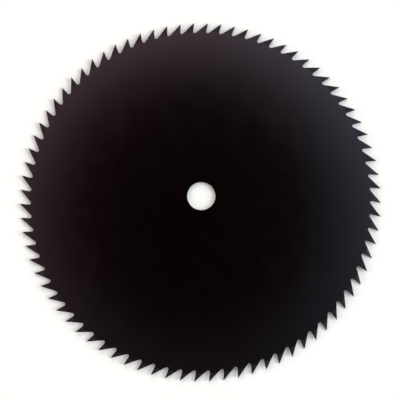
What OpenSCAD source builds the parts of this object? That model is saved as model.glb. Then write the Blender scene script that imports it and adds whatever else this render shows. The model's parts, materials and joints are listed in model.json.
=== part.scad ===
// Brush cutter blade: one steel disc with a plain arbor hole and pointed teeth round the rim.
// The blank is stamped from flat plate, then every tooth is bent a little out of the disc, one
// down and the next one up, so that the cut is wider than the plate.
// The origin is the centre of the arbor hole, half way through the plate. Tooth 0 lies on +X,
// and the teeth point clockwise seen from +Z.

/* [Disc] */
// Diameter over the tooth tips
outer_d = 255; // [230:1:300]
// Thickness of the steel plate
plate_t = 1.4; // [1:0.1:2]
// Diameter of the arbor hole
bore_d = 20; // [15:0.1:30]

/* [Teeth] */
// Number of teeth, an even number because the bends alternate
teeth = 80; // [70:2:90]
// Lean of the cutting face from the radius, so that the tip goes first
hook_angle = 9.4; // [0:0.1:12]
// Fall of the straight back of a tooth from the tangent at its tip
back_angle = 42.4; // [38:0.1:45]
// Radius of the round at the bottom of a gullet
gullet_r = 1.25; // [0.8:0.05:1.8]

/* [Set] */
// Sideways bend of a tooth, measured at its tip
tip_set = 0.42; // [0.2:0.01:0.6]
// Height of the bend line above the bottom of the gullet, as a share of the tooth's height
bend_share = 0.26; // [0.2:0.01:0.4]

/* [Hidden] */

// Facets of a full circle in the preview mesh
bore_fn = 96;
disc_fn = 360;
gullet_fn = 48;

tip_r = outer_d / 2;
pitch = 360 / teeth;

// The cutting face of one tooth and the back of the tooth ahead of it are two straight lines.
// They meet in a sharp corner at this distance down the cutting face from the tip.
ahead_back = back_angle - pitch;
face_run = tip_r * (cos(ahead_back) - cos(back_angle)) / cos(hook_angle + ahead_back);
corner = face_run * [-cos(hook_angle), sin(hook_angle)];

// A circle that touches both lines rounds the corner off. Places are measured from the tip.
gullet_half = (90 - ahead_back - hook_angle) / 2;
gullet_axis = hook_angle + gullet_half;
face_out = [cos(hook_angle), -sin(hook_angle)];
back_out = [sin(ahead_back), -cos(ahead_back)];
gullet_c = corner + gullet_r / sin(gullet_half) * [cos(gullet_axis), -sin(gullet_axis)];
touch_run = gullet_r / tan(gullet_half);
// The circle is this much larger than the one that just touches, so that lines and circle cross
circle_over = 0.002;

// Heights of the gullet's bottom and of the bend line, measured from the disc's centre
gullet_bottom_r = norm([tip_r, 0] + gullet_c) - gullet_r;
tooth_h = tip_r - gullet_bottom_r;
bend_r = gullet_bottom_r + bend_share * tooth_h;
set_angle = atan(tip_set / (tip_r - bend_r));

// The flat disc ends a little under the bend line, and each tooth's strip starts inside the disc
disc_under_bend = 0.4;
disc_r = bend_r - disc_under_bend;
strip_overlap = 3;
// A strip runs past the tip, and past the point where the tooth's back goes under the disc
strip_past_tip = 1;
strip_ahead = 0.6;
strip_past_back = 0.8;
strip_behind = (tip_r - disc_r + strip_past_back) / tan(back_angle);

// The cuts run past the tips, and past both faces of the set teeth
cut_past_tip = 4;
cut_past_face = 1;
cut_h = plate_t + 4 * tip_set + 2 * cut_past_face;

// Radial section of a strip: flat up to the bend line, then tilted by the angle, + is up.
// The two faces bend on one mitre line, so that the plate keeps its thickness.
module strip_section(angle) {
    mitre = plate_t / 2 * tan(angle / 2);
    run = tip_r - bend_r + strip_past_tip;
    end = [bend_r, 0] + run * [cos(angle), sin(angle)];
    out = plate_t / 2 * [-sin(angle), cos(angle)];
    polygon([
        [disc_r - strip_overlap, -plate_t / 2],
        [bend_r + mitre, -plate_t / 2],
        end - out,
        end + out,
        [bend_r - mitre, plate_t / 2],
        [disc_r - strip_overlap, plate_t / 2]
    ]);
}

// Bent strip that one tooth is cut from
module tooth_strip(angle) {
    translate([0, strip_behind, 0])
        rotate([90, 0, 0])
            linear_extrude(height = strip_ahead + strip_behind)
                strip_section(angle);
}

// Outline of one gullet, from the cutting face of a tooth to the back of the tooth ahead
module gullet_outline() {
    on_face = corner + touch_run * face_out;
    on_back = corner + touch_run * back_out;
    ahead_tip = tip_r * [cos(pitch) - 1, -sin(pitch)];
    polygon([
        on_face,
        cut_past_tip * face_out,
        ahead_tip + cut_past_tip * back_out,
        on_back
    ]);
    translate(gullet_c)
        circle(r = gullet_r + circle_over, $fn = gullet_fn);
}

module gullet_cut() {
    translate([tip_r, 0, -cut_h / 2])
        linear_extrude(height = cut_h)
            gullet_outline();
}

module blank() {
    cylinder(h = plate_t, r = disc_r, center = true, $fn = disc_fn);
    for (i = [0 : teeth - 1])
        rotate([0, 0, -i * pitch])
            tooth_strip(i % 2 == 0 ? -set_angle : set_angle);
}

module blade() {
    color("#211f21")
        difference() {
            blank();
            for (i = [0 : teeth - 1])
                rotate([0, 0, -i * pitch])
                    gullet_cut();
            cylinder(h = cut_h, d = bore_d, center = true, $fn = bore_fn);
        }
}

blade();
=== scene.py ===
import json
import math

import bpy
import numpy as np
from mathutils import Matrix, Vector


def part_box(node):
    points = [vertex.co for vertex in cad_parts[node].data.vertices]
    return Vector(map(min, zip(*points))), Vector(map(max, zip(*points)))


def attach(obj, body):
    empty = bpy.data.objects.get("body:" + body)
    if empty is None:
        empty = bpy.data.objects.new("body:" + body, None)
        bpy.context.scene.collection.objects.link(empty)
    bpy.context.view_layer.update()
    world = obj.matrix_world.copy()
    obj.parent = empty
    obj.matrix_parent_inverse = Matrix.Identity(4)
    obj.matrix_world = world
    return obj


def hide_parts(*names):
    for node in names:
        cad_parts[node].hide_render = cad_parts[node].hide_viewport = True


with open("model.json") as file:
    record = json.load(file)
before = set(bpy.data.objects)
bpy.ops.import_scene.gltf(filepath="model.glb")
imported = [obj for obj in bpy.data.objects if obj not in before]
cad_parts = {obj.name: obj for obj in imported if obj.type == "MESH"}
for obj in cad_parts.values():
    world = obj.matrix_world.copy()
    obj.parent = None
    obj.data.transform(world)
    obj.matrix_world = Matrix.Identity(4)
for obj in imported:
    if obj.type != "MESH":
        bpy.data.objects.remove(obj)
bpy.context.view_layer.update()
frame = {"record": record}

# Blade: one disc of spring steel plate, stamped with its arbor hole and its teeth. Every tooth
# is then bent a little out of the disc, one down and the next up, and the finished blade is
# hardened and blackened, so that its cut edges are as dark as its faces.
MM = 0.001
arbor_hole = next(m for m in frame["record"]["mounts"] if m["name"] == "arbor_hole")
bore_r = arbor_hole["dims"]["r_mm"] * MM
half_t = arbor_hole["dims"]["length_mm"] * MM / 2
tip_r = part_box("blade")[1].x
teeth = 80
pitch = 2 * math.pi / teeth
hook = math.radians(9.4)
back = math.radians(42.4)
gullet_r = 1.25 * MM
tip_set = 0.42 * MM
bend_share = 0.26
# A set tooth doesn't fold along a line: it curves over this much of its length
bend_len = 1.6 * MM
# Tumbling after stamping rounds every edge by about this much
edge_r = 0.09 * MM
# A row of points this far in from a rounded edge keeps the faces flat right up to it
flat_from = 0.15 * MM


def towards(angle):
    """Unit vectors at angles taken anticlockwise from +X: (cos a, sin a)."""
    return np.stack([np.cos(angle), np.sin(angle)], -1)


def turned(points, angle):
    """Points turned anticlockwise about the axis: (x cos a - y sin a, x sin a + y cos a)."""
    x, y = points[..., 0], points[..., 1]
    c, s = math.cos(angle), math.sin(angle)
    return np.stack([x * c - y * s, x * s + y * c], -1)


# The tip of tooth 0 is on +X. Its cutting face and the back of the tooth ahead, clockwise of
# it, meet in a sharp corner, whose place down the face is given by the law of sines. A circle
# that touches both lines makes the round gullet.
tip = np.array([tip_r, 0.0])
ahead = back - pitch
face_run = tip_r * (math.cos(ahead) - math.cos(back)) / math.cos(hook + ahead)
corner = tip - face_run * towards(-hook)
gullet_half = (math.pi / 2 - ahead - hook) / 2
gullet_c = corner + gullet_r / math.sin(gullet_half) * towards(-hook - gullet_half)
gullet_bottom = np.linalg.norm(gullet_c) - gullet_r
bend_x = gullet_bottom + bend_share * (tip_r - gullet_bottom)

# Rings of points on the flat face, between the hole and the teeth: two in the open, and one
# at the root of the teeth, a little under the gullets
open_rings = (3 * bore_r, 7.5 * bore_r)
root_r = gullet_bottom - 1.5 * MM
# Where the lines of points from the tip and from the foot of the face end on the root ring
under_tip, under_face = 0.30 * pitch, 0.13 * pitch


def rim_of_one_tooth(on_back, on_face, on_gullet):
    """One pitch of the rim, clockwise: up the back, down the face, round the gullet. A straight
    stretch is (1 - t) p + t q, and the gullet is c + r (cos a, sin a). Returns its points, the
    way that each moves when the rim is drawn in by 1, and each point's angle on the root ring."""
    back_out, face_out = towards(back), towards(-math.pi / 2 - hook)
    foot = turned(gullet_c, pitch) - gullet_r * back_out
    touch = gullet_c - gullet_r * face_out
    t_back = np.linspace(0, 1, on_back, endpoint=False)[:, None]
    t_face = np.linspace(0, 1, on_face, endpoint=False)[:, None]
    sweep = np.linspace(math.pi / 2 - hook, math.pi + ahead, on_gullet + 1)[:-1]
    points = np.concatenate([
        (1 - t_back) * foot + t_back * tip,
        (1 - t_face) * tip + t_face * touch,
        gullet_c + gullet_r * towards(sweep),
    ])
    mitre = (back_out + face_out) / (1 + back_out @ face_out)
    inwards = -np.concatenate([
        np.repeat(back_out[None], on_back, 0),
        mitre[None],
        np.repeat(face_out[None], on_face - 1, 0),
        -towards(sweep),
    ])
    foot_a = math.atan2(foot[1], foot[0])
    root = np.concatenate([
        foot_a + (under_tip - foot_a) * t_back[:, 0],
        under_tip + (under_face - under_tip) * t_face[:, 0],
        np.linspace(under_face, foot_a - pitch, on_gullet + 1)[:-1],
    ])
    return points, inwards, root


def set_height(x):
    """Rise of the plate's middle at x along a tooth: flat, then a parabola over the bend, then
    a straight slope that reaches the set at the tip."""
    slope = tip_set / (tip_r - bend_x)
    past = x - bend_x + bend_len / 2
    curved = np.clip(past, 0, bend_len)
    return slope * (curved**2 / (2 * bend_len) + np.maximum(past - bend_len, 0))


def blade_surface(on_back=9, on_face=5, on_gullet=10, over_tooth=12, on_edge=3):
    """The whole skin as a closed grid. One way runs clockwise round the blade. The other runs
    out over the upper face, over the rim's edge, in under the lower face and up through the
    hole: rings r (cos a, sin a), then (1 - t) root + t rim over the teeth, and quarter rounds
    e (1 - cos b), e (1 - sin b) on the edges. Returns the points, which of them are on a cut
    wall, and how far each is into the bend, from 0 to 1."""
    rim, inwards, root = rim_of_one_tooth(on_back, on_face, on_gullet)
    root_way = towards(root)
    quarter = np.radians(np.linspace(0, 90, on_edge))
    inset, drop = edge_r * (1 - np.cos(quarter)), edge_r * (1 - np.sin(quarter))
    hole = [(r * root_way, d) for r, d in zip(bore_r + inset, drop)]
    flat_radii = (bore_r + edge_r + flat_from, *open_rings, root_r)
    flat_face = [(r * root_way, 0.0) for r in flat_radii]
    last = rim + (edge_r + flat_from) * inwards
    shares = np.arange(1, over_tooth + 1) / over_tooth
    over_teeth = [((1 - t) * root_r * root_way + t * last, 0.0) for t in shares]
    edge = [(rim + i * inwards, d) for i, d in zip(inset[::-1], drop[::-1])]
    rows = hole + flat_face + over_teeth + edge
    plan = np.array([xy for xy, _ in rows])
    down = np.array([d for _, d in rows])[:, None]
    middle = set_height(plan[..., 0])
    bent = np.clip((plan[..., 0] - bend_x) / bend_len + 0.5, 0, 1)
    around = []
    for k in range(teeth):
        side = 1 if k % 2 else -1
        xy = turned(plan, -k * pitch)
        upper = np.dstack([xy, side * middle + half_t - down])
        lower = np.dstack([xy, side * middle - half_t + down])
        around.append(np.concatenate([upper, lower[::-1]]))
    grid = np.concatenate(around, 1)
    bent = np.tile(np.concatenate([bent, bent[::-1]]), (1, teeth))
    on_wall = np.isin(np.arange(len(rows)), [0, len(rows) - 1])
    on_wall = np.repeat(np.concatenate([on_wall, on_wall[::-1]])[:, None], grid.shape[1], 1)
    return grid, {"cut_wall": on_wall, "bent": bent}


def closed_grid_mesh(name, grid, values, sharp_from=math.radians(60)):
    """A mesh of four-sided faces over a grid of points that closes on itself both ways, with
    named values on its points for the material to read. Its faces point outwards."""
    rows, columns = grid.shape[:2]
    number = np.arange(rows * columns).reshape(rows, columns)
    down, right = np.roll(number, -1, 0), np.roll(number, -1, 1)
    faces = np.stack([number, right, np.roll(down, -1, 1), down], -1).reshape(-1, 4)
    mesh = bpy.data.meshes.new(name)
    mesh.from_pydata(grid.reshape(-1, 3), [], faces)
    mesh.polygons.foreach_set("use_smooth", np.ones(len(faces), bool))
    mesh.set_sharp_from_angle(angle=sharp_from)
    for key, value in values.items():
        attribute = mesh.attributes.new(key, "FLOAT", "POINT")
        attribute.data.foreach_set("value", value.ravel().astype(np.float32))
    mesh.update()
    return mesh


blade = bpy.data.objects.new("toothed_disc", closed_grid_mesh("toothed_disc", *blade_surface()))
bpy.context.collection.objects.link(blade)


def linear(hex_colour):
    """An sRGB colour such as #202020 as linear red, green, blue and 1."""
    s = np.array([int(hex_colour[i : i + 2], 16) for i in (1, 3, 5)]) / 255
    return (*np.where(s <= 0.04045, s / 12.92, ((s + 0.055) / 1.055) ** 2.4), 1.0)


def add_node(tree, kind, links=(), settings=(), **sockets):
    """Adds one node, sets its properties and socket values, and links inputs from sockets."""
    node = tree.nodes.new(kind)
    for key, value in dict(settings).items():
        setattr(node, key, value)
    for key, value in sockets.items():
        node.inputs[key.replace("_", " ")].default_value = value
    for key, source in dict(links).items():
        tree.links.new(source, node.inputs[key])
    return node


# Places of a Mix node's sockets: what it mixes, for numbers and for colours, and the result
NUMBER_A, NUMBER_B, COLOUR_A, COLOUR_B = 2, 3, 6, 7
MIXED_NUMBER, MIXED_COLOUR = 0, 2


def blackened_steel():
    """Hot-blackened spring steel: rolled plate under a thin black oxide film, oiled. It looks
    almost black with a hint of brown, and it mirrors the light softly, a little broken up by
    the rolling grain and by patches where the film is duller. The bends, which the setting
    tool has struck, and the sheared walls are duller still."""
    grain_width, grain_length, grain_way = 0.6 * MM, 45 * MM, math.radians(20)
    patch, tear_width, tear_length = 14 * MM, 0.25 * MM, 2.5 * MM
    grain_depth, tear_depth = 0.0008 * MM, 0.02 * MM
    oiled_film, dull_film, struck_film, sheared_film = 0.14, 0.18, 0.50, 0.45
    # Nearly all of the patches' noise lies between these two values
    patch_low, patch_high = 0.3, 0.7
    material = bpy.data.materials.new("blackened_steel")
    material.use_nodes = True
    tree = material.node_tree
    shader = tree.nodes["Principled BSDF"]
    shader.inputs["IOR"].default_value = 1.5
    shader.inputs["Specular Tint"].default_value = linear("#f4e6ff")
    place = add_node(tree, "ShaderNodeTexCoord").outputs["Object"]
    wall, bent = (
        add_node(tree, "ShaderNodeAttribute", settings={"attribute_name": name}).outputs["Fac"]
        for name in ("cut_wall", "bent")
    )

    patches = add_node(
        tree, "ShaderNodeTexNoise", {"Vector": place}, Scale=1 / patch, Detail=4.0, Roughness=0.6,
    ).outputs["Fac"]
    # The real grain is about 0.1 mm wide; it is drawn wider, so that it shows at all
    along = add_node(
        tree, "ShaderNodeMapping", {"Vector": place},
        Rotation=(0, 0, grain_way), Scale=(1 / grain_length, 1 / grain_width, 1 / grain_width),
    ).outputs["Vector"]
    grain = add_node(
        tree, "ShaderNodeTexNoise", {"Vector": along}, Scale=1.0, Detail=3.0,
    ).outputs["Fac"]
    upright = add_node(
        tree, "ShaderNodeMapping", {"Vector": place},
        Scale=(1 / tear_width, 1 / tear_width, 1 / tear_length),
    ).outputs["Vector"]
    tears = add_node(
        tree, "ShaderNodeTexNoise", {"Vector": upright}, Scale=1.0, Detail=2.0,
    ).outputs["Fac"]

    tint = add_node(tree, "ShaderNodeMix", {"Factor": patches}, {"data_type": "RGBA"})
    tint.inputs[COLOUR_A].default_value = linear("#070100")
    tint.inputs[COLOUR_B].default_value = linear("#060101")
    tree.links.new(tint.outputs[MIXED_COLOUR], shader.inputs["Base Color"])

    roughness = add_node(
        tree, "ShaderNodeMapRange", {"Value": patches},
        From_Min=patch_low, From_Max=patch_high, To_Min=oiled_film, To_Max=dull_film,
    ).outputs["Result"]
    for share, duller in ((bent, struck_film), (wall, sheared_film)):
        blend = add_node(
            tree, "ShaderNodeMix", {"Factor": share, NUMBER_A: roughness}, {"data_type": "FLOAT"},
        )
        blend.inputs[NUMBER_B].default_value = duller
        roughness = blend.outputs[MIXED_NUMBER]
    tree.links.new(roughness, shader.inputs["Roughness"])

    relief = add_node(
        tree, "ShaderNodeMix", {"Factor": wall, NUMBER_A: grain, NUMBER_B: tears},
        {"data_type": "FLOAT"},
    ).outputs[MIXED_NUMBER]
    depth = add_node(
        tree, "ShaderNodeMapRange", {"Value": wall}, To_Min=grain_depth, To_Max=tear_depth,
    ).outputs["Result"]
    height = add_node(tree, "ShaderNodeMath", {0: relief, 1: depth}, {"operation": "MULTIPLY"})
    bump = add_node(
        tree, "ShaderNodeBump", {"Height": height.outputs["Value"]}, Strength=1.0, Distance=1.0,
    )
    tree.links.new(bump.outputs["Normal"], shader.inputs["Normal"])
    return material


blade.data.materials.append(blackened_steel())
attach(blade, "root")
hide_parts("blade")

# Floor: a wide sheet of white card that the blade lies on. The blade rests on the tips of the
# teeth that are bent down, so its plate is a little clear of the card.
card_half = 20.0
card_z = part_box("blade")[0].z
card_corners = [(x * card_half, y * card_half, card_z) for x, y in ((-1, -1), (1, -1), (1, 1), (-1, 1))]
card_mesh = bpy.data.meshes.new("floor")
card_mesh.from_pydata(card_corners, [], [(0, 1, 2, 3)])
floor = bpy.data.objects.new("floor", card_mesh)
bpy.context.collection.objects.link(floor)
card = bpy.data.materials.new("white_card")
card.use_nodes = True
card_shader = card.node_tree.nodes["Principled BSDF"]
card_shader.inputs["Base Color"].default_value = linear("#f6f5ef")
card_shader.inputs["Roughness"].default_value = 0.9
card_mesh.materials.append(card)

# Light: a dim white tent with three round soft lamps behind its walls, a strong one on the right
# and weaker ones at the back and on the left. Its top glows round the dark opening where the
# camera looks in, and the plate mirrors that glow, which is warmer on the left.
world = bpy.data.worlds.new("light_tent")
bpy.context.scene.world = world
world.use_nodes = True
tent = world.node_tree
way = add_node(tent, "ShaderNodeTexCoord").outputs["Generated"]
up, to_opening, to_back, to_right = (0, 0, 1), (-0.034, 0.093, 1), (-0.12, 1, 0), (1, -0.4, 0)
lamp_on_right, lamp_at_back, lamp_on_left = (2, 0, 1), (0, 2, 1), (-2, 0, 1)
# Degrees from a lamp's middle at which its light starts and is full
lamp_edge = (24, 10)


def brightness(towards_way, angles, levels, curve="SMOOTHSTEP"):
    """Runs from one level to the other as the angle between a direction in the tent and a given
    way goes from one angle to the other, in degrees, and stays level past them."""
    cosine = add_node(tent, "ShaderNodeVectorMath", {0: way}, {"operation": "DOT_PRODUCT"})
    cosine.inputs[1].default_value = Vector(towards_way).normalized()
    return add_node(
        tent, "ShaderNodeMapRange", {"Value": cosine.outputs["Value"]}, {"interpolation_type": curve},
        From_Min=math.cos(math.radians(angles[0])), From_Max=math.cos(math.radians(angles[1])),
        To_Min=levels[0], To_Max=levels[1],
    ).outputs["Result"]


round_opening = brightness(to_opening, (11.7, 25.4), (0.0, 1.55))
stronger_at_back = brightness(to_back, (103.5, 63.3), (0.25, 2.4), "LINEAR")
glow = add_node(
    tent, "ShaderNodeMath", {0: round_opening, 1: stronger_at_back}, {"operation": "MULTIPLY"},
).outputs["Value"]
wall_and_ceiling = brightness(up, (57, 47), (0.6, 0.12))
near_top = brightness(up, (32, 25), (0.0, 1.0))
strength = add_node(
    tent, "ShaderNodeMix", {"Factor": near_top, NUMBER_A: wall_and_ceiling, NUMBER_B: glow},
    {"data_type": "FLOAT"},
).outputs[MIXED_NUMBER]
for lamp_way, level in ((lamp_on_right, 10.2), (lamp_at_back, 4.5), (lamp_on_left, 4.1)):
    lamp = brightness(lamp_way, lamp_edge, (0.0, level))
    strength = add_node(
        tent, "ShaderNodeMath", {0: strength, 1: lamp}, {"operation": "ADD"},
    ).outputs["Value"]
from_left = brightness(to_right, (107.5, 75.5), (0.0, 1.0), "LINEAR")


def from_left_to_right(left, right):
    """A colour that runs from one on the left of the tent to another on its right."""
    mix = add_node(tent, "ShaderNodeMix", {"Factor": from_left}, {"data_type": "RGBA"})
    mix.inputs[COLOUR_A].default_value = linear(left)
    mix.inputs[COLOUR_B].default_value = linear(right)
    return mix.outputs[MIXED_COLOUR]


top_hue = from_left_to_right("#ffdfdd", "#cbeceb")
wall_hue = from_left_to_right("#fff2ef", "#e7f2fc")
hue = add_node(
    tent, "ShaderNodeMix", {"Factor": near_top, COLOUR_A: wall_hue, COLOUR_B: top_hue},
    {"data_type": "RGBA"},
).outputs[MIXED_COLOUR]
tent.links.new(hue, tent.nodes["Background"].inputs["Color"])
tent.links.new(strength, tent.nodes["Background"].inputs["Strength"])
bpy.context.scene.view_settings.view_transform = "Standard"

# Camera: above the blade and a little towards its lower edge, fitted to the photograph from
# the places of the 80 tips and 80 gullets in its 400 x 400 pixels.
image_px = 400
focal_px = 500.0
centre_px = 215.0
camera = bpy.data.objects.new("camera", bpy.data.cameras.new("camera"))
bpy.context.collection.objects.link(camera)
bpy.context.scene.camera = camera
camera.data.lens = focal_px / image_px * camera.data.sensor_width
camera.data.shift_x = 0.5 - centre_px / image_px
camera.data.clip_start = 10 * MM
camera.location = Vector((6.67, -38.03, 352.08)) * MM
camera.rotation_mode = "QUATERNION"
camera.rotation_quaternion = (0.99856, 0.05027, -0.00534, 0.01782)
